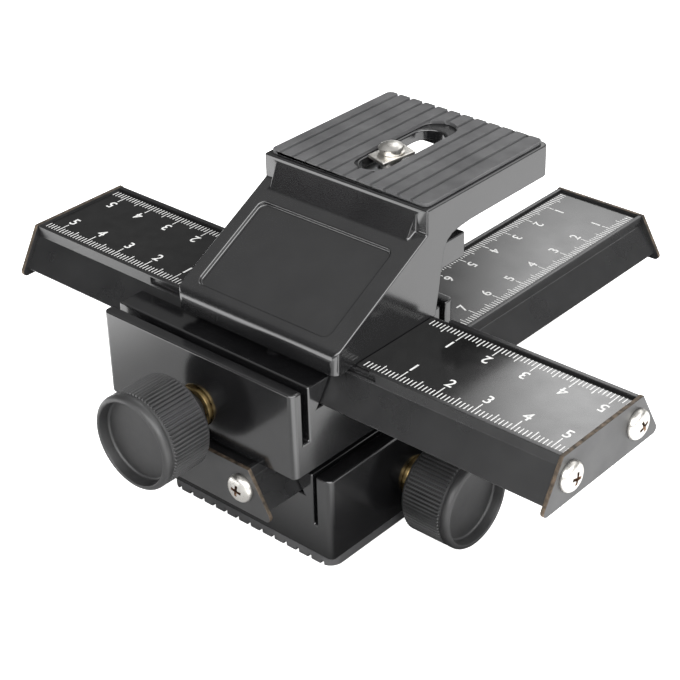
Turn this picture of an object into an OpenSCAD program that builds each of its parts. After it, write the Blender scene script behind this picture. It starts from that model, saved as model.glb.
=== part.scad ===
// Macro focusing rail, in millimetres. Two dovetail rails cross at right angles, and a
// rack and pinion under each one is turned by its own knob. The lower carriage stands on
// the tripod, the Y rail slides in it and carries the upper carriage on its front end,
// and the X rail slides in that one and carries the camera platform.
// The origin is the mouth of the tripod thread, in the plane of the foot pad. +Z is up,
// X runs along the upper rail and Y along the lower one, away from the camera's screw.

/* [Rails] */
// Length of a rail between its end plates
rail_len = 157.3; // [150:0.1:165]
// Half of a rail's width over its flat top
rail_top_half = 14.2; // [13.8:0.1:14.6]
// Half of a rail's width where the two dovetail flanks would meet its underside
rail_bottom_half = 19.45; // [19:0.05:19.8]
// Depth of a rail below its scale plate
rail_depth = 9.7; // [9.5:0.1:9.9]
// Height of the two edge strips above the scale plate
strip_rise = 0.7; // [0.6:0.1:0.8]
// Depth at which the vertical edge strip turns into the dovetail flank
strip_drop = 2; // [1.6:0.1:2.4]
// Width of the scale plate
scale_w = 26; // [25:0.1:26.2]
// Thickness of the scale plate
scale_t = 0.5; // [0.4:0.1:0.6]
// Thickness of an end plate
plate_t = 1; // [0.8:0.1:1.5]
// Place of the Y rail's middle along Y
y_rail_mid = 37.85; // [34:0.05:40]
// Place of the X rail's middle along X
x_rail_mid = 6.4; // [2:0.1:10]

/* [Carriages] */
// Width of a carriage across its rail
block_w = 55.6; // [54:0.1:57]
// Length of a carriage along its rail
block_l = 59.6; // [58:0.1:62]
// Height of a carriage
block_h = 22; // [21.5:0.1:22.2]
// Drop from the scale plate to the top of the carriage
block_drop = 3.4; // [3:0.1:3.6]
// Radius of a carriage's upright corners
block_corner = 1.5; // [1:0.1:3]
// Running gap between a rail and its carriage
slide_gap = 0.15; // [0.1:0.05:0.2]
// Depth of the flexing slits
slit_depth = 13.7; // [12:0.1:14]
// Place of the upper carriage's middle along X
upper_x = -4.15; // [-6:0.05:0]
// Place of the X rail's centre line along Y
cross_y = -10.7; // [-14:0.1:-8]

/* [Foot] */
// Thickness of the rubber foot pad
foot_t = 3.5; // [3:0.1:4]
// Radius of the pad's upright corners
foot_corner = 3.5; // [2:0.1:4]
// Step from the carriage's side to the pad's side
foot_inset = 1.1; // [0.5:0.1:2]
// Pitch of the ribs on both rubber pads
rib_pitch = 3.91; // [3:0.01:5]

/* [Drive] */
// Tooth module of rack and pinion
gear_module = 0.8; // [0.8:0.1:0.8]
// Number of teeth on the pinion
pinion_teeth = 17; // [17:1:17]
// Radius of a drive shaft
shaft_r = 2.5; // [2:0.1:3]
// Outer radius of the brass bush
bush_r = 4.9; // [4.5:0.1:5.2]
// Length of the bush that stands out of the carriage
bush_stand = 1.1; // [0.8:0.1:1.6]
// Radius of a drive knob over its ridges
knob_r = 11.5; // [10:0.05:11.5]
// Length of a drive knob without its hub
knob_len = 14.4; // [12:0.1:16]
// Gap between the lower carriage and its knob
y_knob_gap = 4.3; // [3:0.1:9]
// Gap between the upper carriage and its knob
x_knob_gap = 6.2; // [3:0.1:10]
// Number of ridges round a drive knob
knob_ridges = 72; // [40:1:80]

/* [Platform] */
// Width of the platform
deck_w = 48.5; // [46:0.1:50]
// Place of the platform's middle along X
deck_x = 6.6; // [4:0.05:9]
// Height of the platform's metal top above the X scale plate
deck_top = 27; // [26:0.1:28]
// Thickness of the platform's top
deck_t = 2.8; // [2.5:0.1:3]
// Thickness of its side walls
wall_t = 3.5; // [3:0.1:4]
// Radius of its upright corners
deck_corner = 1.8; // [1:0.1:2.5]
// Depth of the sunk field on its slanted panel
field_d = 1; // [0.5:0.1:1.2]
// Thickness of the rubber pad on top
pad_t = 1; // [0.8:0.1:1.5]
// Half width of the slot in the metal
slot_half = 4.15; // [3.6:0.05:4.4]
// Half width of the slot in the rubber
pad_slot_half = 4.8; // [4.5:0.1:5]
// Radius of the camera screw's thread
screw_r = 3.175; // [3.175:0.005:3.175]

/* [Hidden] */
$fn = 64;
eps = 0.01;
over = 1;

// Heights of the two scale plates, stacked up from the foot
block_bottom = block_drop + block_h;
y_scale_z = foot_t + block_bottom;
x_scale_z = y_scale_z + strip_rise + block_bottom;

// Rack and pinion, seen along the shaft
pitch_r = gear_module * pinion_teeth / 2;
tip_r = pitch_r + gear_module;
root_gap = 1.25 * gear_module;
root_r = pitch_r - root_gap;
pressure_angle = 20;
base_r = pitch_r * cos(pressure_angle);
tooth_pitch = PI * gear_module;
backlash = 0.12;
axis_drop = 17.35;
rack_pitch_z = -axis_drop + pitch_r;
rack_x = 11.8;
rack_w = 6;
rack_top = 7.6;

// Drive line, measured out from the rail's centre line
shaft_in = 5.6;
pinion_in = 8.6;
pinion_w = 6.4;
pocket_in = 8.1;
bush_in = 16;
pocket_half = 8.2;
clip_t = 0.5;
clip_r = 4.2;
groove_r = 2.1;
run_gap = 0.05;
shaft_end = 8;

// Lock on the other side of each carriage
lock_drop = 8.4;
lock_screw_r = 2;
lock_knob_r = 6.5;
lock_knob_len = 11;
lock_gap = 2;
plug_tip = 22;

// Screws: the pan heads on the end plates, and the countersunk ones hidden below
pan_r = 3.5;
pan_h = 2;
small_r = 1.5;
plate_screw_x = 12;
plate_screw_drop = 4.9;
m4_r = 2;
m4_head = 4;
rack_screw_r = 1.25;
rack_screw_head = 2.4;
rack_screw_y = 66;

// Platform, drawn from the X rail's centre line and scale plate
deck_rear = 56.6;
deck_front = 11.5;
skirt_bottom = 18.85;
panel_low = [-19.3, 4.56];
panel_high = [11.5, 21.1];
lip_bottom = -0.8;
lip_t = 3.2;
lip_bend = 3;
panel_t = 3;
panel_angle = atan2(panel_high[1] - panel_low[1], panel_high[0] - panel_low[0]);
panel_len = norm(panel_high - panel_low);
band_half = 20.8;
band_low = [8.8, 19.6];
band_high = 25.9;
foot_half = 12.8;
foot_top = 4;
lug_in = 14;
lug_low = 7.4;
lug_top = 13.9;
lug_front = 8;
lug_rear = 29.5;
lug_corner = 2.5;
screw_y = 28.5;
screw_low = 15;
slot_front = 19.5;
slot_rear = 46;
pad_slot_front = 17.7;
pad_slot_rear = 49.9;
pad_inset = 1;
pad_front = 12.5;
groove_w = 0.9;
groove_d = 0.7;
first_groove = -20.15;
deck_screws = [[-9.5, -15], [2.5, -15], [-9.5, 15], [2.5, 15]];

// Screws that hold the upper carriage on the Y rail, from the origin
carriage_screw_xy = [[-12.2, 8], [3.5, 8], [-12.2, -31]];

function arc(c, r, a0, a1, n) = [for (i = [0:n]) c + r * [cos(a0 + (a1 - a0) * i / n),
    sin(a0 + (a1 - a0) * i / n)]];
function mirrored(pts) = concat(pts, [for (i = [len(pts) - 1:-1:0]) [-pts[i][0], pts[i][1]]]);
function rail_half(drop) = rail_top_half + (drop - strip_drop)
    * (rail_bottom_half - rail_top_half) / (rail_depth - strip_drop);
function involute(a) = tan(a) - a * PI / 180;
function pressure(r) = acos(min(1, base_r / r));
function tooth_half(r) = (PI * gear_module / 2 - backlash / 2) / (2 * pitch_r) * 180 / PI
    + (involute(pressure_angle) - involute(pressure(r))) * 180 / PI;

// ---- places ----

// Parts drawn for a rail or carriage that runs along Y, with its knob at +X
module on_lower() { translate([0, 0, y_scale_z]) children(); }
module on_y_rail() { translate([0, y_rail_mid, y_scale_z]) children(); }
module on_upper() { translate([upper_x, cross_y, x_scale_z]) rotate([0, 0, -90]) children(); }
module on_x_rail() { translate([x_rail_mid, cross_y, x_scale_z]) rotate([0, 0, -90]) children(); }
module on_deck() { translate([deck_x, cross_y, x_scale_z]) children(); }

// ---- general shapes ----

// A flat outline in X and Z, pulled along Y
module along_y(length) { rotate([90, 0, 0]) linear_extrude(length, center = true) children(); }
// A flat outline in Y and Z, pulled along X
module along_x(length) {
    rotate([90, 0, 90]) linear_extrude(length, center = true) children();
}
// A cylinder along X, from one place to another
module bar_x(r, x0, x1) { translate([x0, 0, 0]) rotate([0, 90, 0]) cylinder(r = r, h = x1 - x0); }
// A spun outline, turned to run along +X
module spun_x() { rotate([0, 90, 0]) rotate_extrude() children(); }
module upright_block(w, l, h, r) {
    translate([-w / 2 + r, -l / 2, 0]) cube([w - 2 * r, l, h]);
    translate([-w / 2, -l / 2 + r, 0]) cube([w, l - 2 * r, h]);
    for (x = [-1, 1], y = [-1, 1]) {
        translate([x * (w / 2 - r), y * (l / 2 - r), 0]) cylinder(r = r, h = h);
    }
}
module slot_solid(half, y0, y1, h) {
    translate([-half, y0 + half, 0]) cube([2 * half, y1 - y0 - 2 * half, h]);
    for (y = [y0 + half, y1 - half]) {
        translate([0, y, 0]) cylinder(r = half, h = h);
    }
}
// A countersunk screw that is driven upwards from z = 0, and the hole for it
module countersunk(r, head, length) {
    cylinder(r1 = head, r2 = r, h = head - r);
    cylinder(r = r, h = length);
}
module countersunk_hole(r, head, length) {
    countersunk(r, head, length);
    translate([0, 0, -over]) cylinder(r = head, h = over);
}
module countersunk_screw(r, head, length) {
    difference() {
        countersunk(r, head, length);
        translate([0, 0, -eps]) cross_recess(head * 1.1, 1);
    }
}
module cross_recess(size, depth) {
    for (a = [0, 90]) {
        rotate([0, 0, a]) translate([-size / 2, -size / 8, 0]) cube([size, size / 4, depth]);
    }
}

// ---- rails ----

module rail_profile() {
    edge_cut = 0.6;
    polygon(mirrored([
        [scale_w / 2, -scale_t], [scale_w / 2, strip_rise], [rail_top_half, strip_rise],
        [rail_top_half, -strip_drop], [rail_half(rail_depth - edge_cut), -rail_depth + edge_cut],
        [rail_half(rail_depth - edge_cut) - edge_cut, -rail_depth]]));
}
module rail_bar() {
    difference() {
        along_y(rail_len) rail_profile();
        translate([rack_x - rack_w / 2 - run_gap, -rail_len, -rail_depth - over])
            cube([rack_w + 2 * run_gap, 2 * rail_len, rail_depth - rack_top + over]);
        for (x = [-1, 1], end = [-1, 1]) {
            translate([x * plate_screw_x, end * (rail_len / 2 + eps), -plate_screw_drop])
                rotate([end * 90, 0, 0]) cylinder(r = small_r, h = 9);
        }
        for (y = [-rack_screw_y, 0, rack_screw_y]) {
            translate([rack_x, y, -scale_t]) rotate([180, 0, 0])
                countersunk_hole(rack_screw_r, rack_screw_head, rail_depth);
        }
    }
}
// A toothed rack under the rail, with a tooth at mesh_y
module rack(mesh_y) {
    count = floor(rail_len / 2 / tooth_pitch) - 1;
    near = round(mesh_y / tooth_pitch);
    tooth = tooth_pitch / 4 - backlash / 4;
    lean = tan(pressure_angle);
    tip_z = rack_pitch_z - gear_module;
    root_z = rack_pitch_z + root_gap;
    difference() {
        union() {
            translate([rack_x - rack_w / 2, -rail_len / 2, root_z])
                cube([rack_w, rail_len, -rack_top - root_z]);
            translate([rack_x, 0, 0]) along_x(rack_w) for (i = [-count:count]) {
                y = mesh_y + (i - near) * tooth_pitch;
                polygon([[y - tooth - root_gap * lean, root_z + eps],
                    [y + tooth + root_gap * lean, root_z + eps],
                    [y + tooth - gear_module * lean, tip_z],
                    [y - tooth + gear_module * lean, tip_z]]);
            }
        }
        for (y = [-rack_screw_y, 0, rack_screw_y]) {
            translate([rack_x, y, root_z + 0.2]) cylinder(r = rack_screw_r, h = rack_top);
        }
    }
}
module rack_screws() {
    for (y = [-rack_screw_y, 0, rack_screw_y]) {
        translate([rack_x, y, -scale_t]) rotate([180, 0, 0])
            countersunk_screw(rack_screw_r, rack_screw_head, rail_depth - scale_t - 0.8);
    }
}
// Thin end plate with round lower corners, its inner face at y = 0
module end_plate() {
    top_half = 14.3;
    low_half = 20.7;
    low = 11.2;
    r = 1.2;
    rotate([90, 0, 0]) difference() {
        linear_extrude(plate_t) polygon(mirrored(concat([[top_half, strip_rise + 0.1]],
            arc([low_half - r * 1.3, -low + r], r, 28, -90, 6))));
        for (x = [-plate_screw_x, plate_screw_x]) {
            translate([x, -plate_screw_drop, -over])
                cylinder(r = small_r + 0.1, h = plate_t + 2 * over);
        }
    }
}
// Pan-head screw driven along +Y, its head seated at y = 0
module pan_screw() {
    rotate([-90, 0, 0]) {
        cylinder(r = small_r, h = 8);
        difference() {
            rotate_extrude() polygon(concat([[0, 0], [pan_r, 0], [pan_r, -0.7]],
                [for (a = [15:15:75]) [pan_r * cos(a), -0.7 - (pan_h - 0.7) * sin(a)]],
                [[0, -pan_h]]));
            translate([0, 0, -pan_h - eps]) cross_recess(3.6, 1.1);
        }
    }
}
module plate_screws() {
    for (x = [-plate_screw_x, plate_screw_x]) {
        translate([x, 0, -plate_screw_drop]) pan_screw();
    }
}
// The four ends: a plate and its screws are drawn for the end at -Y
module at_front_end() { translate([0, -rail_len / 2, 0]) children(); }
module at_rear_end() { rotate([0, 0, 180]) at_front_end() children(); }

// ---- carriages ----

module dovetail_channel() {
    depth = rail_depth + slide_gap;
    along_y(block_l + 2 * over) polygon(mirrored([
        [rail_half(0) + slide_gap, 0], [rail_half(depth) + slide_gap, -depth]]));
}
// The cast block: channel, rack way, slits, shaft bore and lock bore
module carriage(slit_x, slit_w) {
    side_gap = 0.4;
    bore_r = lock_screw_r + run_gap;
    difference() {
        translate([0, 0, -block_bottom]) upright_block(block_w, block_l, block_h, block_corner);
        dovetail_channel();
        translate([rack_x - rack_w / 2 - side_gap, -block_l, rack_pitch_z - gear_module - side_gap])
            cube([rack_w + 2 * side_gap, 2 * block_l, rail_depth]);
        for (side = [-1, 1]) {
            translate([side * slit_x - slit_w / 2, -block_l, -block_drop - slit_depth])
                cube([slit_w, 2 * block_l, slit_depth + over]);
        }
        translate([pocket_in, -pocket_half, -block_bottom - over])
            cube([bush_in - pocket_in, 2 * pocket_half, block_h - 2]);
        translate([0, 0, -axis_drop]) {
            bar_x(bush_r, bush_in - eps, block_w);
            bar_x(shaft_r + run_gap, shaft_in - 0.2, bush_in);
        }
        translate([0, 0, -lock_drop]) bar_x(bore_r, -block_w, -rail_half(lock_drop - bore_r));
        lightening_pockets();
    }
}
// Hollows that lighten the casting from below
module lightening_pockets() {
    top = 12.6;
    h = block_bottom - top + over;
    translate([-20, 10.5, -block_bottom - over]) cube([40, 15, h]);
    translate([-20, -25.5, -block_bottom - over]) cube([40, 15, h]);
    translate([-20, -8.5, -block_bottom - over]) cube([10, 17, h]);
}
// Plug between the lock screw and the rail, cut off along the dovetail's flank
module brake_plug() {
    gap = 0.1;
    below = 2 * lock_drop;
    difference() {
        translate([0, 0, -lock_drop])
            bar_x(lock_screw_r, -plug_tip, lock_screw_r - rail_half(lock_drop));
        along_y(4 * lock_screw_r) polygon([[-rail_half(0) - gap, 0],
            [-rail_half(below) - gap, -below], [0, -below], [0, 0]]);
    }
}

// ---- drive ----

module pinion_outline() {
    step = 360 / pinion_teeth;
    radii = [root_r, base_r, (base_r + pitch_r) / 2, pitch_r, pitch_r + 0.3, pitch_r + 0.55, tip_r];
    polygon([for (i = [0:pinion_teeth - 1], k = [0:2 * len(radii) - 1])
        let (up = k < len(radii), r = up ? radii[k] : radii[2 * len(radii) - 1 - k],
            a = i * step + step / 2 + (up ? -1 : 1) * tooth_half(r))
        r * [cos(a), sin(a)]]);
}
module pinion() {
    translate([pinion_in, 0, -axis_drop]) rotate([0, -90, 0]) translate([0, 0, -pinion_w])
        difference() {
            linear_extrude(pinion_w) pinion_outline();
            translate([0, 0, -over]) cylinder(r = shaft_r, h = pinion_w + 2 * over);
        }
}
module shaft(stand) {
    clip_x = bush_in - clip_t - 0.2;
    translate([0, 0, -axis_drop]) difference() {
        bar_x(shaft_r, shaft_in, block_w / 2 + stand + shaft_end);
        difference() {
            bar_x(shaft_r + over, clip_x, clip_x + clip_t);
            bar_x(groove_r, clip_x - over, clip_x + clip_t + over);
        }
    }
}
module circlip() {
    clip_x = bush_in - clip_t - 0.2;
    translate([clip_x, 0, -axis_drop]) difference() {
        bar_x(clip_r, 0, clip_t);
        bar_x(groove_r, -over, clip_t + over);
        translate([-over, -1.2, 0]) cube([clip_t + 2 * over, 2.4, clip_r + over]);
    }
}
module bush() {
    face = block_w / 2 + bush_stand;
    translate([0, 0, -axis_drop]) difference() {
        bar_x(bush_r, bush_in, face);
        bar_x(shaft_r + run_gap, bush_in - over, face + over);
    }
}
// Ridges of one height that stand on a round grip, rooted a little below its surface
module ridge_ring(r, height, count, length) {
    step = 360 / count;
    bar = [[-0.5, -height - 0.3], [-0.31, -height - 0.3], [-0.1, 0], [0.1, 0], [0.31, -height - 0.3]];
    linear_extrude(length) polygon([for (i = [0:count - 1], p = bar)
        (r + p[1]) * [cos((i + p[0]) * step), sin((i + p[0]) * step)]]);
}
// Drive knob along +X, its rear face at x = 0, with a hub behind and a dished front
module drive_knob(stand) {
    ridge = 0.45;
    rim = 1.1;
    collar = 1.9;
    cut = 0.9;
    hub_r = 3.8;
    hub_l = stand - bush_stand - 0.1;
    dish_r = 10.1;
    dish_d = 2.9;
    floor_x = knob_len - dish_d;
    waist = knob_r - ridge;
    spun_x() polygon(concat([[shaft_r, -hub_l], [hub_r, -hub_l], [hub_r, 0], [waist - cut, 0],
        [waist, cut], [waist, knob_len - collar - ridge], [knob_r, knob_len - collar]],
        arc([knob_r - rim, knob_len - rim], rim, 0, 90, 6),
        [[dish_r + 0.1, knob_len]], arc([dish_r - 0.7, floor_x + 0.6], 0.6, 0, -90, 4),
        [[0, floor_x], [0, shaft_end], [shaft_r, shaft_end]]));
    rotate([90, 0, 90]) translate([0, 0, cut + 0.3])
        ridge_ring(knob_r, ridge, knob_ridges, knob_len - collar - ridge - cut - 0.8);
}
module place_knob(stand) { translate([block_w / 2 + stand, 0, -axis_drop]) children(); }

// ---- locks ----

module lock_knob() {
    waist = lock_knob_r - 0.5;
    translate([-block_w / 2 - lock_gap, 0, -lock_drop]) rotate([0, 0, 180]) {
        spun_x() polygon([[lock_screw_r, 0], [waist - 0.8, 0], [waist, 0.8],
            [waist, lock_knob_len - 1], [waist - 1, lock_knob_len], [0, lock_knob_len],
            [0, lock_knob_len - 3], [lock_screw_r, lock_knob_len - 3]]);
        rotate([90, 0, 90]) translate([0, 0, 1])
            ridge_ring(lock_knob_r, 0.5, 24, lock_knob_len - 2.3);
    }
}
module lock_screw() {
    translate([0, 0, -lock_drop])
        bar_x(lock_screw_r, -block_w / 2 - lock_gap - lock_knob_len + 3, -plug_tip - 0.1);
}

// ---- platform ----

module deck_side() {
    turn = 90 - panel_angle;
    reach = lip_bend * tan(turn / 2);
    bend = [panel_low[0] + lip_bend, panel_low[1] - reach];
    polygon(concat([[panel_low[0], lip_bottom]], arc(bend, lip_bend, 180, 180 - turn, 5),
        [panel_high, [deck_front, deck_top], [deck_rear, deck_top], [deck_rear, skirt_bottom],
        [27.3, skirt_bottom], [23.3, 18.5], [20.4, 17.9], [18.8, 16.9], [17.7, 15.1],
        [16.8, 11], [16.1, 6.5], [14.6, -scale_t], [panel_low[0] + lip_t, -scale_t],
        [panel_low[0] + lip_t, lip_bottom]]));
}
// The hollow under the panel and the deck, in the same view
module deck_hollow() {
    inner_y = panel_low[0] + lip_t;
    slope = tan(panel_angle);
    shift = panel_t / cos(panel_angle);
    panel_z = panel_low[1] - shift;
    front = deck_front + 3.1;
    polygon([[inner_y, -over * 3], [inner_y, panel_z + (inner_y - panel_low[0]) * slope],
        [front, panel_z + (front - panel_low[0]) * slope], [front, deck_top - deck_t],
        [deck_rear - wall_t, deck_top - deck_t], [deck_rear - wall_t, -over * 3]]);
}
// The sunk field on the slanted panel
module panel_field() {
    field_w = 39.5;
    field_l = 25.1;
    field_x = -0.7;
    field_mid = 16;
    translate([0, panel_low[0], panel_low[1]]) rotate([panel_angle, 0, 0])
        translate([field_x, field_mid, -field_d])
        upright_block(field_w, field_l, 2 * field_d + over, deck_corner);
}
// The leaning band between the panel and the top, proud of the walls' front edges
module front_band() {
    inside = deck_front + 1;
    along_x(2 * band_half) polygon([band_low, [deck_front, band_high], [inside, band_high],
        [inside, band_low[1] + 1]]);
}
module platform_body() {
    middle_y = (deck_rear + panel_low[0]) / 2;
    difference() {
        union() {
            difference() {
                intersection() {
                    along_x(deck_w) deck_side();
                    translate([0, middle_y, lip_bottom - over]) upright_block(deck_w,
                        deck_rear - panel_low[0], 2 * deck_top, deck_corner);
                }
                along_x(deck_w - 2 * wall_t) deck_hollow();
            }
            front_band();
            translate([-deck_w / 2 + wall_t - eps, -foot_half, -scale_t])
                cube([deck_w - 2 * wall_t + 2 * eps, 2 * foot_half, foot_top + scale_t]);
            for (side = [-1, 1]) {
                scale([side, 1, 1]) wall_lug();
            }
        }
        panel_field();
        translate([0, 0, deck_top - deck_t - over])
            slot_solid(slot_half, slot_front, slot_rear, deck_t + 2 * over);
        for (p = deck_screws) {
            translate([p[1], -p[0], -over]) cylinder(r = m4_r, h = foot_top + 2 * over);
        }
    }
}
// Cast lug on the inner face of a side wall, its rear upright edge rounded
module wall_lug() {
    length = lug_rear - lug_front;
    width = deck_w / 2 - wall_t - lug_in + eps;
    translate([lug_in, lug_front, lug_low]) {
        cube([width, length - lug_corner, lug_top - lug_low]);
        translate([lug_corner, 0, 0]) cube([width - lug_corner, length, lug_top - lug_low]);
        translate([lug_corner, length - lug_corner, 0])
            cylinder(r = lug_corner, h = lug_top - lug_low);
    }
}

// ---- base ----

module foot_pad() {
    count = 13;
    color("#3c3c3c") difference() {
        upright_block(block_w - 2 * foot_inset, block_l - 2 * foot_inset, foot_t, foot_corner);
        for (i = [0:count - 1]) {
            translate([(i - (count - 1) / 2) * rib_pitch - groove_w / 2, -block_l, -over])
                cube([groove_w, 2 * block_l, over + 1]);
        }
        translate([0, 0, -over]) cylinder(r = 8.2, h = foot_t + 2 * over);
    }
}
module lower_carriage() {
    color("#161616") difference() {
        union() {
            on_lower() carriage(22.9, 1);
            cylinder(r = 8, h = 17);
        }
        translate([0, 0, -over]) cylinder(r = 4.5, h = 10 + over);
        on_lower() {
            translate([pocket_in, -pocket_half, -block_bottom])
                cube([bush_in - pocket_in, 2 * pocket_half, block_h - 2]);
            translate([0, 0, -axis_drop]) bar_x(shaft_r + run_gap, shaft_in - 0.2, bush_in);
        }
    }
}
module tripod_insert() {
    color("#a58a4a") difference() {
        cylinder(r = 4.5, h = 10);
        translate([0, 0, -over]) cylinder(r = screw_r, h = 8.5 + over);
    }
}
module y_bush() { color("#a58a4a") on_lower() bush(); }
module y_brake_plug() { color("#a58a4a") on_lower() brake_plug(); }

// ---- cross slide ----

module carriage_screw_places() {
    for (p = carriage_screw_xy) {
        translate([p[0], p[1], y_scale_z - rail_depth]) children();
    }
}
module y_rail() {
    color("#202020") difference() {
        on_y_rail() rail_bar();
        carriage_screw_places() countersunk_hole(m4_r, m4_head, 2 * rail_depth);
    }
}
module y_rack() { color("#8d8f92") on_y_rail() rack(-y_rail_mid); }
module y_rack_screws() { color("#8d8f92") on_y_rail() rack_screws(); }
module y_scale_plate() {
    start = cross_y + block_w / 2 + 0.6 - y_rail_mid;
    color("#111111") on_y_rail() translate([-scale_w / 2 + 0.1, start, -scale_t])
        cube([scale_w - 0.2, rail_len / 2 - start - 0.1, scale_t]);
}
module y_front_plate() { color("#262626") on_y_rail() at_front_end() end_plate(); }
module y_rear_plate() { color("#262626") on_y_rail() at_rear_end() end_plate(); }
module y_front_plate_screws() {
    color("#c9c5be") on_y_rail() at_front_end() translate([0, -plate_t, 0]) plate_screws();
}
module y_rear_plate_screws() {
    color("#c9c5be") on_y_rail() at_rear_end() translate([0, -plate_t, 0]) plate_screws();
}
module upper_carriage() {
    boss_r = 4.2;
    base_z = x_scale_z - block_bottom;
    color("#161616") difference() {
        union() {
            on_upper() carriage(23.7, 2);
            for (p = carriage_screw_xy) {
                translate([p[0], p[1], base_z]) cylinder(r = boss_r, h = 8);
            }
        }
        for (p = carriage_screw_xy) {
            translate([p[0], p[1], base_z - over]) cylinder(r = m4_r, h = 6.2 + over);
        }
        on_upper() translate([0, 0, -axis_drop]) bar_x(bush_r, bush_in - eps, block_w);
    }
}
module carriage_screws() {
    color("#8d8f92") carriage_screw_places() countersunk_screw(m4_r, m4_head, 16);
}
module x_bush() { color("#a58a4a") on_upper() bush(); }
module x_brake_plug() { color("#a58a4a") on_upper() brake_plug(); }

// ---- top slide ----

module deck_screw_places() {
    for (p = deck_screws) {
        translate([p[0], p[1] + deck_x - x_rail_mid, -rail_depth]) children();
    }
}
module x_rail() {
    notch_start = deck_w / 2 - wall_t - 0.05;
    notch_l = 8.4;
    slot_mid = -3.9;
    slot_l = 69.2;
    color("#202020") difference() {
        on_x_rail() difference() {
            rail_bar();
            deck_screw_places() countersunk_hole(m4_r, m4_head, 2 * rail_depth);
        }
        for (end = [-1, 1], side = [-1, 1]) {
            translate([deck_x + end * (notch_start + notch_l / 2),
                cross_y + side * (rail_top_half + scale_w / 2) / 2, x_scale_z + 0.5])
                cube([notch_l, rail_top_half - scale_w / 2 + 0.1, 2], center = true);
        }
        translate([deck_x + slot_mid, cross_y - rail_top_half, x_scale_z - 0.7])
            cube([slot_l, 1.6, 1.6], center = true);
    }
}
module x_rack() { color("#8d8f92") on_x_rail() rack(upper_x - x_rail_mid); }
module x_rack_screws() { color("#8d8f92") on_x_rail() rack_screws(); }
module x_scale_plates() {
    inner = deck_w / 2 + 0.2;
    left = x_rail_mid - rail_len / 2 + 0.1;
    right = x_rail_mid + rail_len / 2 - 0.1;
    color("#111111") translate([0, cross_y - scale_w / 2 + 0.1, x_scale_z - scale_t]) {
        translate([left, 0, 0]) cube([deck_x - inner - left, scale_w - 0.2, scale_t]);
        translate([deck_x + inner, 0, 0]) cube([right - deck_x - inner, scale_w - 0.2, scale_t]);
    }
}
module x_left_plate() { color("#262626") on_x_rail() at_front_end() end_plate(); }
module x_right_plate() { color("#262626") on_x_rail() at_rear_end() end_plate(); }
module x_left_plate_screws() {
    color("#c9c5be") on_x_rail() at_front_end() translate([0, -plate_t, 0]) plate_screws();
}
module x_right_plate_screws() {
    color("#c9c5be") on_x_rail() at_rear_end() translate([0, -plate_t, 0]) plate_screws();
}
module platform() { color("#161616") on_deck() platform_body(); }
module platform_pad() {
    w = deck_w - 2 * pad_inset;
    color("#3c3c3c") on_deck() difference() {
        translate([0, (pad_front + deck_rear - pad_inset) / 2, deck_top])
            upright_block(w, deck_rear - pad_inset - pad_front, pad_t, 1.5);
        for (i = [0:10]) {
            translate([first_groove + i * rib_pitch - groove_w / 2, 0, deck_top + pad_t - groove_d])
                cube([groove_w, 2 * deck_rear, groove_d + over]);
        }
        translate([0, 0, deck_top - over])
            slot_solid(pad_slot_half, pad_slot_front, pad_slot_rear, pad_t + 2 * over);
    }
}
module platform_screws() {
    color("#8d8f92") on_x_rail() deck_screw_places() countersunk_screw(m4_r, m4_head, 13);
}

// ---- drives and locks, in their places ----

module y_knob() {
    color("#3a3a3a") on_lower() place_knob(y_knob_gap) drive_knob(y_knob_gap);
}
module y_shaft() { color("#b7b9bb") on_lower() shaft(y_knob_gap); }
module y_pinion() { color("#a58a4a") on_lower() pinion(); }
module y_circlip() { color("#8d8f92") on_lower() circlip(); }
module x_knob() {
    color("#3a3a3a") on_upper() place_knob(x_knob_gap) drive_knob(x_knob_gap);
}
module x_shaft() { color("#b7b9bb") on_upper() shaft(x_knob_gap); }
module x_pinion() { color("#a58a4a") on_upper() pinion(); }
module x_circlip() { color("#8d8f92") on_upper() circlip(); }
module y_lock_knob() { color("#3a3a3a") on_lower() lock_knob(); }
module y_lock_screw() { color("#b7b9bb") on_lower() lock_screw(); }
module x_lock_knob() { color("#3a3a3a") on_upper() lock_knob(); }
module x_lock_screw() { color("#b7b9bb") on_upper() lock_screw(); }

// ---- camera screw ----

module on_screw() { on_deck() translate([0, screw_y, 0]) children(); }
// Four-sided plate snapped round the screw, level with the rubber
module screw_retainer() {
    color("#c9c5be") on_screw() translate([0, 0, deck_top + 0.1]) difference() {
        linear_extrude(0.8) polygon([[-3.5, -4.3], [2.6, -6.1], [3.9, 3.8], [-2.4, 5.8]]);
        translate([0, 0, -over]) cylinder(r = screw_r - 0.65, h = 3);
    }
}
module screw_washer() {
    color("#8d8f92") on_screw() translate([0, 0, deck_top - deck_t - 0.7]) difference() {
        cylinder(r = 6.8, h = 0.6);
        translate([0, 0, -over]) cylinder(r = screw_r + 0.1, h = 3);
    }
}
module camera_screw() {
    top = 30.3;
    tip = 0.7;
    neck_r = screw_r - 0.7;
    color("#c9c5be") on_screw() {
        translate([0, 0, screw_low]) cylinder(r = screw_r, h = deck_top - screw_low);
        translate([0, 0, deck_top - eps]) cylinder(r = neck_r, h = 1 + 2 * eps);
        translate([0, 0, deck_top + 1]) cylinder(r = screw_r, h = top - tip - deck_top - 1);
        translate([0, 0, top - tip]) cylinder(r1 = screw_r, r2 = screw_r - tip, h = tip);
    }
}
// Finger knob below the deck, on the lower end of the camera screw
module camera_screw_knob() {
    r = 10.8;
    h = 10.5;
    edge = 0.8;
    ridge = 0.5;
    low = deck_top - deck_t - 0.8 - h;
    color("#3a3a3a") on_screw() translate([0, 0, low]) difference() {
        union() {
            cylinder(r = r - ridge, h = h);
            translate([0, 0, edge]) ridge_ring(r, ridge, 44, h - 2 * edge);
        }
        translate([0, 0, screw_low - low]) cylinder(r = screw_r, h = h);
    }
}

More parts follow.
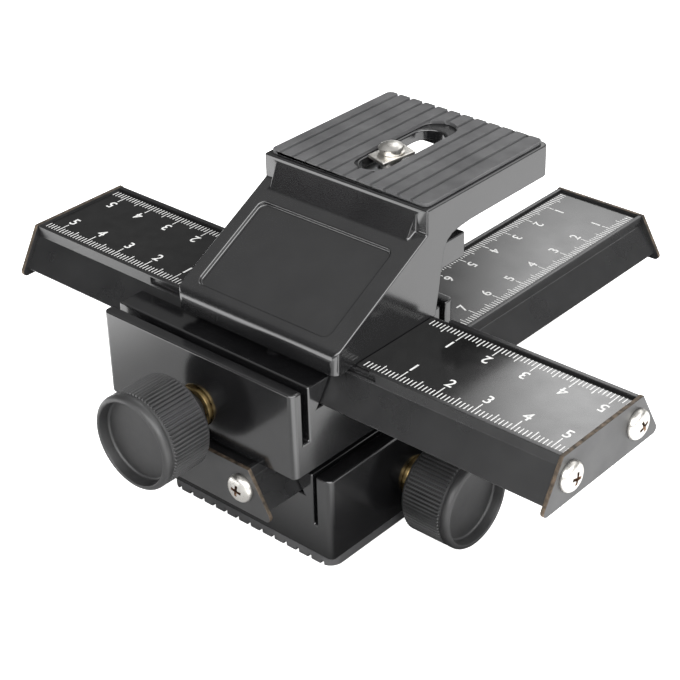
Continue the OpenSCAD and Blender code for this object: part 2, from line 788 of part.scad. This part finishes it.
foot_pad();
lower_carriage();
tripod_insert();
y_bush();
y_brake_plug();
y_rail();
y_rack();
y_rack_screws();
y_scale_plate();
y_front_plate();
y_rear_plate();
y_front_plate_screws();
y_rear_plate_screws();
upper_carriage();
carriage_screws();
x_bush();
x_brake_plug();
x_rail();
x_rack();
x_rack_screws();
x_scale_plates();
x_left_plate();
x_right_plate();
x_left_plate_screws();
x_right_plate_screws();
platform();
platform_pad();
platform_screws();
y_knob();
y_shaft();
y_pinion();
y_circlip();
x_knob();
x_shaft();
x_pinion();
x_circlip();
y_lock_knob();
y_lock_screw();
x_lock_knob();
x_lock_screw();
screw_retainer();
screw_washer();
camera_screw();
camera_screw_knob();
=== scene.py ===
from math import atan2, cos, pi, radians, sin

import bmesh
import bpy
from mathutils import Matrix, Vector


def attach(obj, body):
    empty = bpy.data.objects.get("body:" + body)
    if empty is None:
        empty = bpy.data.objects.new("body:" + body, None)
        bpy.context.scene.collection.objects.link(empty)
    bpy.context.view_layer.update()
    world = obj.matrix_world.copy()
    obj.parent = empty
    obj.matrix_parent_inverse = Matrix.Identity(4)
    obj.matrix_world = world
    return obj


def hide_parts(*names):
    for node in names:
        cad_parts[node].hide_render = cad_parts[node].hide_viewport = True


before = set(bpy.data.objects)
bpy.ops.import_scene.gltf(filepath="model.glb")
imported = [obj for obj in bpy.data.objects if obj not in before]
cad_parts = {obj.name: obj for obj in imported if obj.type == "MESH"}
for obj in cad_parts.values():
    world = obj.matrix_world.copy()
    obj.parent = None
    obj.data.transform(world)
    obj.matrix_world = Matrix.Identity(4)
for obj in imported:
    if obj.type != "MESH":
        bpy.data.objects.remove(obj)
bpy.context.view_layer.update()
scene = bpy.context.scene

# ---- Camera ----
# It stands 0.44 m from the rail, in front of it, to its right and 31 degrees above it,
# where the photograph was taken from, with a 93 mm lens on a 36 mm sensor.
mm = 0.001
camera_right = Vector((0.75074, 0.66017, -0.02412))
camera_up = Vector((-0.32396, 0.39973, 0.85749))
camera_back = Vector((0.57573, -0.63592, 0.51395))
camera_place = Vector((244.62, -264.60, 254.15)) * mm
lens = bpy.data.cameras.new("camera")
lens.sensor_width = 36
lens.lens = 93.295
lens.clip_start = 0.01
camera = bpy.data.objects.new("camera", lens)
camera_turn = Matrix((camera_right, camera_up, camera_back)).transposed().to_4x4()
camera.matrix_world = Matrix.Translation(camera_place) @ camera_turn
scene.collection.objects.link(camera)
scene.camera = camera
scene.view_settings.view_transform = "Standard"

# ---- Studio ----
# A tall soft light stands behind the rail and a second one to its right, in a dim room. Only
# the camera sees white. Reflections see this room and a table with painted shade, dark near the
# rail, which glows faintly where that painted shade is lighter.


def add(tree, kind, inputs=(), **settings):
    """One shader node; an input is a number, a colour or another node's output."""
    made = tree.nodes.new("ShaderNode" + kind)
    for name, value in settings.items():
        setattr(made, name, value)
    for name, value in dict(inputs).items():
        if isinstance(value, bpy.types.NodeSocket):
            tree.links.new(value, made.inputs[name])
        else:
            made.inputs[name].default_value = value
    return made


def ramped(tree, value, start, end, low, high):
    """value, eased from start..end to low..high."""
    made = add(
        tree,
        "MapRange",
        {"Value": value, "From Min": start, "From Max": end, "To Min": low, "To Max": high},
        interpolation_type="SMOOTHSTEP",
    )
    return made.outputs["Result"]


def times(tree, one, two):
    return add(tree, "Math", {0: one, 1: two}, operation="MULTIPLY").outputs[0]


def plus(tree, one, two):
    return add(tree, "Math", {0: one, 1: two}, operation="ADD").outputs[0]


def towards(tree, way, aim):
    return add(tree, "VectorMath", {0: way, 1: aim}, operation="DOT_PRODUCT").outputs["Value"]


back_light = (0.777, 0.629, 0)
right_light = (0.707, -0.707, 0)
room = bpy.data.worlds.new("room")
scene.world = room
room.use_nodes = True
sky = room.node_tree
sky.nodes.clear()
way = add(sky, "TexCoord").outputs["Generated"]
height = add(sky, "SeparateXYZ", {"Vector": way}).outputs["Z"]
back = towards(sky, way, back_light)
right = towards(sky, way, right_light)
back = plus(sky, ramped(sky, back, 0.0, 0.09, 0, 6), ramped(sky, back, 0.1, 0.16, 0, -4.5))
back = times(sky, back, ramped(sky, height, 0.42, 0.5, 0.2, 1))
right = times(sky, ramped(sky, right, 0.2, 0.45, 0, 5), ramped(sky, height, 0.15, 0.5, 0, 1))
window = times(sky, plus(sky, back, right), ramped(sky, height, 0.7, 0.92, 1, 0))
dim = ramped(sky, height, 0.35, 0.95, 0.16, 0.62)
level = plus(sky, window, dim)
walls = add(sky, "Background", {"Strength": level})
backdrop = add(sky, "Background", {"Color": (1, 1, 1, 1), "Strength": 1.0})
seen = add(sky, "LightPath").outputs["Is Camera Ray"]
both = add(sky, "MixShader", {0: seen, 1: walls.outputs[0], 2: backdrop.outputs[0]})
add(sky, "OutputWorld", {"Surface": both.outputs[0]})

table = bmesh.new()
table_half = 3000
table_gap = 0.02
bmesh.ops.create_grid(table, x_segments=1, y_segments=1, size=table_half * mm)
bmesh.ops.translate(table, vec=(0, 0, -table_gap * mm), verts=table.verts)
table_mesh = bpy.data.meshes.new("table")
table.to_mesh(table_mesh)
table_top = bpy.data.objects.new("table", table_mesh)
scene.collection.objects.link(table_top)
pale = bpy.data.materials.new("table_with_painted_shade")
pale.use_nodes = True
tree = pale.node_tree
tree.nodes.clear()
spot = add(tree, "SeparateXYZ", {"Vector": add(tree, "TexCoord").outputs["Object"]})
# Painted shade: seen in reflections, the table is near black close to the rail and lighter past it
# to the right, to the left and in front. This stands in for the rail's own shadow.
shade = 0.04
for axis, start, end, share in (
    ("X", 0.04, 0.08, 1.0),
    ("X", -0.07, -0.12, 1.2),
    ("Y", -0.025, -0.05, 0.4),
):
    shade = plus(tree, shade, ramped(tree, spot.outputs[axis], start, end, 0, share))
painted_shade_card = add(tree, "BsdfDiffuse", {"Color": shade})
# Painted light: the table glows in the same painted pattern, though it is no lamp.
painted_light_glow = add(tree, "Emission", {"Color": (1, 1, 1, 1), "Strength": times(tree, shade, 0.35)})
painted_shade_look = add(tree, "AddShader", {0: painted_shade_card.outputs[0], 1: painted_light_glow.outputs[0]})
paper = add(tree, "BsdfDiffuse", {"Color": (0.8, 0.8, 0.8, 1)})
white_glow = add(tree, "Emission", {"Color": (1, 1, 1, 1), "Strength": 0.85})
white = add(tree, "AddShader", {0: paper.outputs[0], 1: white_glow.outputs[0]})
seen = add(tree, "LightPath").outputs["Is Camera Ray"]
shown = add(tree, "MixShader", {0: seen, 1: painted_shade_look.outputs[0], 2: white.outputs[0]})
add(tree, "OutputMaterial", {"Surface": shown.outputs[0]})
table_mesh.materials.append(pale)

# ---- Foot pad ----
# A sheet of black rubber glued under the lower carriage, with thirteen ribs moulded
# along the rail's direction so that it grips the tripod head.


def surface(name, **constants):
    """A material with one principled shader, its tree and the place on the object."""
    made = bpy.data.materials.new(name)
    made.use_nodes = True
    shader = made.node_tree.nodes["Principled BSDF"]
    for socket, value in constants.items():
        shader.inputs[socket.replace("_", " ")].default_value = value
    where = add(made.node_tree, "TexCoord").outputs["Object"]
    return made, made.node_tree, shader, where


def grain(tree, where, scale, detail=2.0):
    noise = add(tree, "TexNoise", {"Vector": where, "Scale": scale, "Detail": detail})
    return noise.outputs["Fac"]


def spread(tree, value, low, high, start=0.3, end=0.7):
    """value, stretched from start..end to low..high."""
    made = add(
        tree,
        "MapRange",
        {"Value": value, "From Min": start, "From Max": end, "To Min": low, "To Max": high},
    )
    return made.outputs["Result"]


def relief(tree, shader, value, strength, depth):
    bump = add(tree, "Bump", {"Height": value, "Strength": strength, "Distance": depth})
    tree.links.new(bump.outputs["Normal"], shader.inputs["Normal"])


def tinted(tree, value, dark, light):
    ramp = add(tree, "Mix", {"Factor": value}, data_type="RGBA")
    ramp.inputs[6].default_value = (*dark, 1)
    ramp.inputs[7].default_value = (*light, 1)
    return ramp.outputs[2]


def rubber():
    made, tree, shader, where = surface("black_rubber", IOR=1.5)
    tint = spread(tree, grain(tree, where, 90), 0, 1)
    shade = tinted(tree, tint, (0.06, 0.06, 0.062), (0.11, 0.11, 0.112))
    tree.links.new(shade, shader.inputs["Base Color"])
    rough = spread(tree, grain(tree, where, 400), 0.5, 0.66)
    tree.links.new(rough, shader.inputs["Roughness"])
    relief(tree, shader, grain(tree, where, 5000, 3), 0.35, 0.03 * mm)
    return made


def cad_copy(node):
    """The CAD node's shape with its loose triangles merged into flat faces."""
    bm = bmesh.new()
    bm.from_mesh(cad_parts[node].data)
    bmesh.ops.remove_doubles(bm, verts=bm.verts, dist=0.002 * mm)
    bmesh.ops.dissolve_limit(bm, angle_limit=radians(0.4), verts=bm.verts, edges=bm.edges)
    return bm


def soften(bm, width, steps=2, pick=None, angle=32):
    """Rounds the edges of bm that turn more than angle, where pick allows it."""
    sharp = [
        e
        for e in bm.edges
        if len(e.link_faces) == 2
        and abs(e.calc_face_angle()) > radians(angle)
        and (pick is None or pick(e))
    ]
    bmesh.ops.bevel(
        bm,
        geom=sharp,
        offset=width * mm,
        offset_type="OFFSET",
        affect="EDGES",
        segments=steps,
        profile=0.5,
        material=-1,
        clamp_overlap=False,
    )


def piece(bm, name, body, materials, nodes=(), sharp=30):
    """Makes bm an object of the part, shaded so that its flat faces stay flat."""
    mesh = bpy.data.meshes.new(name)
    bm.to_mesh(mesh)
    bm.free()
    mesh.shade_smooth()
    mesh.set_sharp_from_angle(angle=radians(sharp))
    for material in materials:
        mesh.materials.append(material)
    made = bpy.data.objects.new(name, mesh)
    scene.collection.objects.link(made)
    flat = made.modifiers.new("flat_faces", "WEIGHTED_NORMAL")
    flat.keep_sharp = True
    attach(made, body)
    if nodes:
        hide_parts(*nodes)
    return made


black_rubber = rubber()
pad = cad_copy("foot_pad")
soften(pad, 0.25)
piece(pad, "foot_pad_ribs", "base", [black_rubber], ["foot_pad"])

# ---- Carriages ----
# Two blocks cast in aluminium from the same mould and stoved in glossy black enamel. The
# lower one carries the foot, and the upper one is screwed across the lower rail.


def enamel():
    made, tree, shader, where = surface("black_enamel", IOR=1.9)
    tint = spread(tree, grain(tree, where, 120), 0, 1)
    shade = tinted(tree, tint, (0.005, 0.005, 0.0055), (0.009, 0.009, 0.0095))
    tree.links.new(shade, shader.inputs["Base Color"])
    rough = spread(tree, grain(tree, where, 45, 3), 0.14, 0.2)
    tree.links.new(rough, shader.inputs["Roughness"])
    relief(tree, shader, grain(tree, where, 420), 0.12, 0.06 * mm)
    return made


black_enamel = enamel()
for node, body in (("lower_carriage", "base"), ("upper_carriage", "cross")):
    block = cad_copy(node)
    soften(block, 0.5, steps=4)
    piece(block, node + "_casting", body, [black_enamel], [node])

# ---- Rails ----
# Aluminium dovetail extrusions, anodised black, with a raised strip along both edges of
# the top. Each one is open underneath for its rack.


def anodised():
    made, tree, shader, where = surface("black_anodised", IOR=1.6)
    tint = spread(tree, grain(tree, where, 200), 0, 1)
    shade = tinted(tree, tint, (0.008, 0.008, 0.0085), (0.013, 0.013, 0.0135))
    tree.links.new(shade, shader.inputs["Base Color"])
    rough = spread(tree, grain(tree, where, 90, 3), 0.26, 0.31)
    tree.links.new(rough, shader.inputs["Roughness"])
    relief(tree, shader, grain(tree, where, 2500), 0.12, 0.01 * mm)
    return made


black_anodised = anodised()
for node, body in (("y_rail", "cross"), ("x_rail", "top")):
    bar = cad_copy(node)
    soften(bar, 0.15)
    piece(bar, node + "_bar", body, [black_anodised], [node])

# ---- Scale plates ----
# Thin aluminium strips in glossy black, glued between the raised edges. Millimetre ticks
# and centimetre numbers are printed on them in white, along both edges.


def lacquer():
    made, tree, shader, where = surface("scale_black", IOR=1.65)
    tint = spread(tree, grain(tree, where, 300), 0, 1)
    shade = tinted(tree, tint, (0.008, 0.008, 0.008), (0.012, 0.012, 0.012))
    tree.links.new(shade, shader.inputs["Base Color"])
    rough = spread(tree, grain(tree, where, 150, 3), 0.12, 0.18)
    tree.links.new(rough, shader.inputs["Roughness"])
    relief(tree, shader, grain(tree, where, 3000), 0.06, 0.01 * mm)
    return made


def white_ink():
    made, tree, shader, where = surface("white_ink", IOR=1.45, Roughness=0.4)
    tint = spread(tree, grain(tree, where, 1500), 0, 1)
    shade = tinted(tree, tint, (0.66, 0.66, 0.65), (0.82, 0.82, 0.81))
    tree.links.new(shade, shader.inputs["Base Color"])
    return made


def coat(material, *nodes):
    for name in nodes:
        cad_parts[name].material_slots[0].material = material


scale_black = lacquer()
ink = white_ink()
coat(scale_black, "y_scale_plate", "x_scale_plates")

ink_t = 0.03
tick_w = 0.26
tick_edge = 12.26
tick_ends = {1: 10.2, 5: 9.3, 10: 8.2}
digit_place = 6.3
digit_size = 4.1
digit_swell = 0.05


def number(bm, digit, place):
    """A numeral centred on place, upright along its +Y."""
    text = bpy.data.curves.new("numeral", "FONT")
    text.body = str(digit)
    text.size = digit_size * mm
    text.align_x = "CENTER"
    text.align_y = "CENTER"
    text.extrude = ink_t / 2 * mm
    text.offset = digit_swell * mm
    text.resolution_u = 4
    written = bpy.data.objects.new("numeral", text)
    scene.collection.objects.link(written)
    mesh = bpy.data.meshes.new_from_object(written)
    bpy.data.objects.remove(written)
    mesh.transform(place)
    bm.from_mesh(mesh)
    bpy.data.meshes.remove(mesh)


def scale_row(bm, start, along, inward, upright, length, last):
    """Prints one row. The rest frame's X runs along it and Y from its edge inwards."""
    for step in range(1, int(length) + 1):
        kind = 10 if step % 10 == 0 else 5 if step % 5 == 0 else 1
        reach = tick_edge - tick_ends[kind]
        middle = start + along * step + inward * (reach / 2)
        size = Matrix.Diagonal((tick_w * mm, reach * mm, ink_t * mm, 1))
        axes = Matrix((along, inward, along.cross(inward))).transposed().to_4x4()
        bmesh.ops.create_cube(bm, size=1, matrix=Matrix.Translation(middle * mm) @ axes @ size)
    read = upright.cross(Vector((0, 0, 1)))
    axes = Matrix((read, upright, Vector((0, 0, 1)))).transposed().to_4x4()
    for digit in range(1, last + 1):
        middle = start + along * (10 * digit) + inward * (tick_edge - digit_place)
        number(bm, digit, Matrix.Translation(middle * mm) @ axes)


east, north, top = Vector((1, 0, 0)), Vector((0, 1, 0)), Vector((0, 0, 1))
y_scale_z = 28.9
x_scale_z = 55.0
cross_y = -10.7
y_zero = 115.8
x_zeros = {1: 31.48, -1: -17.68}

y_print = bmesh.new()
for side in (-1, 1):
    edge = Vector((side * tick_edge, y_zero, y_scale_z))
    scale_row(y_print, edge, -north, -side * east, -side * east, 97, 9)
piece(y_print, "y_scale_print", "cross", [ink], sharp=60)

x_print = bmesh.new()
for end, zero in x_zeros.items():
    for side in (-1, 1):
        edge = Vector((zero, cross_y + side * tick_edge, x_scale_z))
        scale_row(x_print, edge, end * east, -side * north, -side * north, 54, 5)
piece(x_print, "x_scale_print", "top", [ink], sharp=60)

# ---- End plates ----
# Stamped sheet steel in satin black paint that close the rails and stop the carriages.
# The sheared edges carry little paint and show brownish metal.


def satin_paint():
    made, tree, shader, where = surface("plate_black", IOR=1.75)
    tint = spread(tree, grain(tree, where, 250, 4), 0, 1)
    shade = tinted(tree, tint, (0.012, 0.012, 0.0125), (0.02, 0.02, 0.0205))
    tree.links.new(shade, shader.inputs["Base Color"])
    rough = spread(tree, grain(tree, where, 120), 0.36, 0.48)
    tree.links.new(rough, shader.inputs["Roughness"])
    relief(tree, shader, grain(tree, where, 2200, 3), 0.25, 0.02 * mm)
    return made


def sheared_edge():
    made, tree, shader, where = surface("sheared_edge", Metallic=0.6)
    tint = spread(tree, grain(tree, where, 700, 4), 0, 1)
    shade = tinted(tree, tint, (0.03, 0.026, 0.022), (0.16, 0.12, 0.085))
    tree.links.new(shade, shader.inputs["Base Color"])
    rough = spread(tree, grain(tree, where, 1500), 0.35, 0.55)
    tree.links.new(rough, shader.inputs["Roughness"])
    return made


plate_black = satin_paint()
raw_edge = sheared_edge()
for node, body, face in (
    ("y_front_plate", "cross", north),
    ("y_rear_plate", "cross", north),
    ("x_left_plate", "top", east),
    ("x_right_plate", "top", east),
):
    sheet = cad_copy(node)
    for side in sheet.faces:
        side.material_index = 0 if abs(side.normal.dot(face)) > 0.5 else 1
    soften(sheet, 0.12)
    piece(sheet, node + "_sheet", body, [plate_black, raw_edge], [node])

# ---- End plate screws ----
# Two nickel-plated M3 pan heads with a cross recess hold each end plate. The recess keeps
# a warm tone where the plating is thin.


def nickel():
    made, tree, shader, where = surface("bright_nickel", Metallic=1.0)
    tint = spread(tree, grain(tree, where, 600, 3), 0, 1)
    shade = tinted(tree, tint, (0.66, 0.64, 0.6), (0.8, 0.78, 0.74))
    tree.links.new(shade, shader.inputs["Base Color"])
    rough = spread(tree, grain(tree, where, 1800, 3), 0.26, 0.38)
    tree.links.new(rough, shader.inputs["Roughness"])
    relief(tree, shader, grain(tree, where, 3500), 0.1, 0.01 * mm)
    return made


def worn_nickel():
    made, tree, shader, where = surface("worn_nickel", Metallic=1.0)
    tint = spread(tree, grain(tree, where, 1200, 3), 0, 1)
    shade = tinted(tree, tint, (0.2, 0.13, 0.09), (0.5, 0.38, 0.3))
    tree.links.new(shade, shader.inputs["Base Color"])
    rough = spread(tree, grain(tree, where, 2500), 0.3, 0.5)
    tree.links.new(rough, shader.inputs["Roughness"])
    return made


def turned(points, steps):
    """A solid turned round +Z from (radius, height) points in millimetres."""
    bm = bmesh.new()
    verts = [bm.verts.new(Vector((r, 0, z)) * mm) for r, z in points]
    edges = [bm.edges.new(pair) for pair in zip(verts, verts[1:])]
    bmesh.ops.spin(
        bm,
        geom=verts + edges,
        cent=(0, 0, 0),
        axis=(0, 0, 1),
        angle=2 * pi,
        steps=steps,
        use_merge=True,
    )
    bmesh.ops.remove_doubles(bm, verts=bm.verts, dist=0.001 * mm)
    bmesh.ops.recalc_face_normals(bm, faces=bm.faces)
    return bm


def arc(r, z, radius, start, end, steps):
    """Points of a rounded corner about (r, z), angles in degrees from +r."""
    angles = [radians(start + (end - start) * i / steps) for i in range(steps + 1)]
    return [(r + radius * cos(a), z + radius * sin(a)) for a in angles]


def cut_out(bm, tool):
    """bm with the solid of tool taken away; the cut faces have the second material."""
    shapes = []
    for index, source in enumerate((bm, tool)):
        for side in source.faces:
            side.material_index = index
        mesh = bpy.data.meshes.new("cutting")
        source.to_mesh(mesh)
        source.free()
        mesh.materials.append(bright_nickel)
        mesh.materials.append(recess_nickel)
        made = bpy.data.objects.new("cutting", mesh)
        scene.collection.objects.link(made)
        shapes.append(made)
    cut = shapes[0].modifiers.new("cut", "BOOLEAN")
    cut.object = shapes[1]
    cut.operation = "DIFFERENCE"
    cut.solver = "EXACT"
    live = shapes[0].evaluated_get(bpy.context.evaluated_depsgraph_get())
    result = bmesh.new()
    result.from_mesh(live.to_mesh())
    live.to_mesh_clear()
    for made in shapes:
        bpy.data.objects.remove(made)
    return result


def cross_tool(reach, half, low, high):
    """The point of a cross-head driver, whose wings taper from z high down to low."""
    tool = bmesh.new()
    rings = []
    for z, size in ((high, 1), (low, 0.5)):
        ring = []
        for turn in range(4):
            for along, across in ((half, -half), (reach, -half), (reach, half)):
                at = Vector((along * size, across * (size + 1) / 2, z))
                ring.append(tool.verts.new(Matrix.Rotation(turn * pi / 2, 3, "Z") @ at * mm))
        rings.append(ring)
    for i in range(12):
        j = (i + 1) % 12
        tool.faces.new((rings[0][i], rings[0][j], rings[1][j], rings[1][i]))
    tool.faces.new(rings[0][::-1])
    tool.faces.new(rings[1])
    bmesh.ops.recalc_face_normals(tool, faces=tool.faces)
    return tool


def pan_head():
    """An M3 pan head whose underside is at z = 0, driven along -Z."""
    dome = [(0, -8), (1.5, -8), (1.5, 0), (3.4, 0)]
    dome += arc(3.3, 0.25, 0.2, -60, 20, 3)
    dome += [(3.42, 0.75)]
    dome += [(3.3 * cos(radians(a)), 0.9 + 1.1 * sin(radians(a))) for a in range(12, 90, 13)]
    dome += [(0, 2.0)]
    return cut_out(turned(dome, 48), cross_tool(1.8, 0.42, 0.5, 2.6))


bright_nickel = nickel()
recess_nickel = worn_nickel()
screw_x = 12
screw_drop = 4.9
for node, body, centre, out, scale_z, turns in (
    ("y_front_plate_screws", "cross", Vector((0, -41.8, 0)), -north, y_scale_z, (20, -8)),
    ("y_rear_plate_screws", "cross", Vector((0, 117.5, 0)), north, y_scale_z, (35, 5)),
    ("x_left_plate_screws", "top", Vector((-73.25, cross_y, 0)), -east, x_scale_z, (60, 12)),
    ("x_right_plate_screws", "top", Vector((86.05, cross_y, 0)), east, x_scale_z, (-12, 25)),
):
    across = top.cross(out)
    axes = Matrix((across, top, out)).transposed().to_4x4()
    pair = bmesh.new()
    for side, turn in zip((-1, 1), turns):
        head = pan_head()
        seat = centre + across * side * screw_x + top * (scale_z - screw_drop)
        spin = Matrix.Rotation(radians(turn), 4, "Z")
        bmesh.ops.transform(
            head, matrix=Matrix.Translation(seat * mm) @ axes @ spin, verts=head.verts
        )
        whole = bpy.data.meshes.new("head")
        head.to_mesh(whole)
        head.free()
        pair.from_mesh(whole)
        bpy.data.meshes.remove(whole)
    piece(pair, node[:-7] + "_pan_heads", body, [bright_nickel, recess_nickel], [node])

# ---- Platform ----
# A cast hood in the carriages' enamel, screwed on the upper rail. It has a slanted front
# panel with a sunk field, two side walls, and a flat top that overhangs to the back.
hood = cad_copy("platform")
soften(hood, 0.48, steps=4)
piece(hood, "platform_casting", "top", [black_enamel], ["platform"])

# ---- Platform pad ----
# A moulded rubber mat with eleven grooves across it, glued on the platform round the slot.
mat = cad_copy("platform_pad")
soften(mat, 0.15)
piece(mat, "platform_mat", "top", [black_rubber], ["platform_pad"])

# ---- Camera screw ----
# A nickel-plated 1/4 inch screw with a domed tip, kept in the slot by a four-sided clip. A
# washer and a ribbed finger knob are below the platform.
slot_x = 6.6
slot_y = 17.8
thread_pitch = 1.27
core = turned(
    [(0, 15), (2.6, 15), (2.6, 27.0), (2.45, 27.05), (2.45, 27.95), (2.75, 28.0)]
    + [(2.8 * cos(radians(a)), 29.45 + 0.85 * sin(radians(a))) for a in range(0, 90, 15)]
    + [(0, 30.3)],
    48,
)
thread = bmesh.new()
tooth = [(2.6, -0.45), (3.175, -0.1), (3.175, 0.1), (2.6, 0.45)]
start_z = 28.4
verts = [thread.verts.new(Vector((r, 0, z + start_z)) * mm) for r, z in tooth]
root = thread.faces.new(verts)
turns_made = 0.95
bmesh.ops.spin(
    thread,
    geom=[root],
    cent=(0, 0, 0),
    axis=(0, 0, 1),
    dvec=(0, 0, thread_pitch * turns_made / 48 * mm),
    angle=2 * pi * turns_made,
    steps=48,
)
bmesh.ops.recalc_face_normals(thread, faces=thread.faces)
spiral = bpy.data.meshes.new("spiral")
thread.to_mesh(spiral)
thread.free()
core.from_mesh(spiral)
bpy.data.meshes.remove(spiral)
bmesh.ops.translate(core, vec=Vector((slot_x, slot_y, x_scale_z)) * mm, verts=core.verts)
piece(core, "camera_screw_thread", "camera_screw_body", [bright_nickel], ["camera_screw"])

clip = cad_copy("screw_retainer")
soften(clip, 0.15)
piece(clip, "screw_clip", "screw_carrier", [bright_nickel], ["screw_retainer"])

# ---- Knobs ----
# Moulded black plastic with a fine matt grain. The drive knobs have 72 ridges behind a plain
# rim and a dished front; the lock knobs and the finger knob are plain ribbed grips.


def matt_plastic():
    made, tree, shader, where = surface("knob_plastic", IOR=1.7)
    tint = spread(tree, grain(tree, where, 150), 0, 1)
    shade = tinted(tree, tint, (0.012, 0.012, 0.0125), (0.02, 0.02, 0.0205))
    tree.links.new(shade, shader.inputs["Base Color"])
    rough = spread(tree, grain(tree, where, 300), 0.42, 0.55)
    tree.links.new(rough, shader.inputs["Roughness"])
    relief(tree, shader, grain(tree, where, 4200, 3), 0.3, 0.03 * mm)
    return made


def ridged(points, steps, per_ridge, low, high, depth):
    """A turned grip whose surface sinks by depth between ridges, from z low to high."""
    bm = turned(points, steps)
    valley = []
    for v in bm.verts:
        index = round(atan2(v.co.y, v.co.x) / (2 * pi) * steps) % per_ridge
        if low * mm < v.co.z < high * mm and index >= per_ridge // 2:
            valley.append(v)
    radius = max(r for r, z in points)
    bmesh.ops.scale(
        bm, vec=((radius - depth) / radius, (radius - depth) / radius, 1), verts=valley
    )
    return bm


knob_plastic = matt_plastic()
knob_r = 11.5
knob_len = 14.4
waist = 11.05
grip_profile = (
    [(3.8, 0), (10.15, 0), (waist, 0.9), (waist, 1.2), (knob_r, 1.45), (knob_r, 11.3)]
    + [(waist, 11.55), (waist, 12.05), (11.35, 12.25), (knob_r, 12.5)]
    + arc(knob_r - 1.1, knob_len - 1.1, 1.1, 0, 90, 6)
    + [(10.3, knob_len), (10.18, 14.33), (10.12, 14.2), (10.0, 12.1)]
    + arc(9.4, 12.1, 0.6, 0, -90, 5)
    + [(5, 11.5), (0, 11.5)]
)
for node, body, hub, place, out in (
    ("x_knob", "x_drive", 5.0, Vector((-4.15, -44.7, 37.65)), -north),
    ("y_knob", "y_drive", 3.1, Vector((32.1, 0, 11.55)), east),
):
    grip = ridged([(0, -hub), (3.7, -hub), (3.8, 0.1 - hub)] + grip_profile, 288, 4, 1.3, 11.4, 0.45)
    axes = Matrix((top.cross(out), top, out)).transposed().to_4x4()
    bmesh.ops.transform(grip, matrix=Matrix.Translation(place * mm) @ axes, verts=grip.verts)
    piece(grip, node + "_grip", body, [knob_plastic], [node], sharp=50)

lock_profile = (
    [(0, 0), (5.2, 0), (6.0, 0.8), (6.5, 1.1), (6.5, 9.4), (6.0, 9.8)]
    + arc(5.2, 10.2, 0.8, 0, 90, 4)
    + [(0, 11)]
)
for node, body, place, out in (
    ("y_lock_knob", "y_lock", Vector((-29.8, 0, 20.5)), -east),
    ("x_lock_knob", "x_lock", Vector((-4.15, 19.1, 46.6)), north),
):
    grip = ridged(lock_profile, 96, 4, 1.0, 9.6, 0.5)
    axes = Matrix((top.cross(out), top, out)).transposed().to_4x4()
    bmesh.ops.transform(grip, matrix=Matrix.Translation(place * mm) @ axes, verts=grip.verts)
    piece(grip, node + "_grip", body, [knob_plastic], [node], sharp=50)

finger_profile = (
    [(0, 12.9), (9.9, 12.9), (10.3, 13.3), (10.3, 13.7), (10.8, 13.9), (10.8, 22.4)]
    + [(10.3, 22.6), (10.3, 23.0), (9.9, 23.4), (0, 23.4)]
)
grip = ridged(finger_profile, 176, 4, 13.8, 22.5, 0.5)
bmesh.ops.translate(grip, vec=Vector((slot_x, slot_y, x_scale_z)) * mm, verts=grip.verts)
piece(
    grip, "finger_knob_grip", "camera_screw_body", [knob_plastic],
    ["camera_screw_knob"], sharp=50,
)

# ---- Brass parts ----
# Turned brass, dulled by handling: the thread insert in the foot, the bushes round the
# drive shafts, the brake plugs and the pinions.


def dull_brass():
    made, tree, shader, where = surface("brass", Metallic=1.0)
    tint = spread(tree, grain(tree, where, 500, 3), 0, 1)
    shade = tinted(tree, tint, (0.3, 0.21, 0.09), (0.5, 0.37, 0.17))
    tree.links.new(shade, shader.inputs["Base Color"])
    rough = spread(tree, grain(tree, where, 900, 3), 0.25, 0.42)
    tree.links.new(rough, shader.inputs["Roughness"])
    relief(tree, shader, grain(tree, where, 2500), 0.15, 0.01 * mm)
    return made


brass = dull_brass()
for node, body in (("x_bush", "cross"), ("y_bush", "base")):
    sleeve = cad_copy(node)
    soften(sleeve, 0.2)
    piece(sleeve, node + "_sleeve", body, [brass], [node])
coat(brass, "tripod_insert", "y_brake_plug", "x_brake_plug", "y_pinion", "x_pinion")

# ---- Steel parts ----
# Zinc-plated racks, countersunk screws, circlips and washer, and ground steel shafts and
# lock screws. All of them are inside or underneath.


def zinc():
    made, tree, shader, where = surface("zinc_steel", Metallic=1.0)
    tint = spread(tree, grain(tree, where, 350, 3), 0, 1)
    shade = tinted(tree, tint, (0.42, 0.43, 0.45), (0.6, 0.6, 0.6))
    tree.links.new(shade, shader.inputs["Base Color"])
    rough = spread(tree, grain(tree, where, 1200, 3), 0.28, 0.45)
    tree.links.new(rough, shader.inputs["Roughness"])
    relief(tree, shader, grain(tree, where, 2500), 0.2, 0.01 * mm)
    return made


def ground():
    made, tree, shader, where = surface("ground_steel", Metallic=1.0)
    tint = spread(tree, grain(tree, where, 800, 3), 0, 1)
    shade = tinted(tree, tint, (0.5, 0.5, 0.5), (0.64, 0.64, 0.63))
    tree.links.new(shade, shader.inputs["Base Color"])
    rough = spread(tree, grain(tree, where, 3000, 3), 0.2, 0.34)
    tree.links.new(rough, shader.inputs["Roughness"])
    return made


coat(
    zinc(),
    "y_rack", "x_rack", "y_rack_screws", "x_rack_screws", "carriage_screws",
    "platform_screws", "y_circlip", "x_circlip", "screw_washer",
)
coat(ground(), "y_shaft", "x_shaft", "y_lock_screw", "x_lock_screw")
